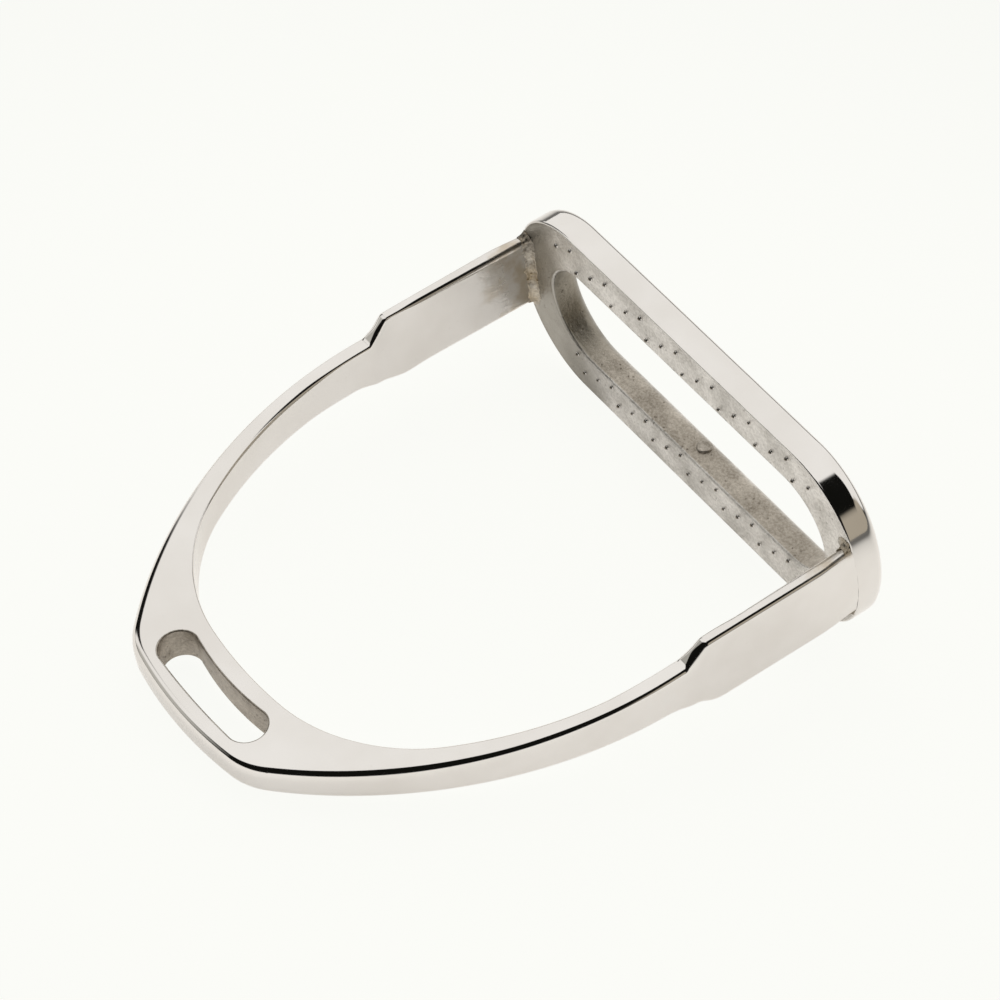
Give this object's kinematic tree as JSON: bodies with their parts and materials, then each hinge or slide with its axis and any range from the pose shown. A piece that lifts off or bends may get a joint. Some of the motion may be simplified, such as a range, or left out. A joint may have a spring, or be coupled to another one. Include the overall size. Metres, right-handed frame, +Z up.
{
  "type": "stirrup iron",
  "caption": "Bare cast stirrup iron lying on its back: arched bow with a leather slot in its eye, flat arms, and a slotted oblong tread with grip points.",
  "frame": {"origin": "middle of the bounding box's footprint, on the ground that the iron lies on", "axes": "+Z up from the ground, X along the tread, -Y towards the eye; the iron lies on its back, resting on the tread's back edge and the back of the eye"},
  "size_m": [0.134, 0.1538, 0.0525],
  "materials": {
    "polished_steel": "polished",
    "tread_steel": "rough cast face, polished wall",
    "weld_steel": "ground weld",
    "grip_steel": "rough cast"
  },
  "bodies": {
    "root": {"bow": "polished_steel", "tread": "tread_steel", "right_weld": "weld_steel", "left_weld": "weld_steel", "grip_points": "grip_steel"}
  },
  "joints": []
}
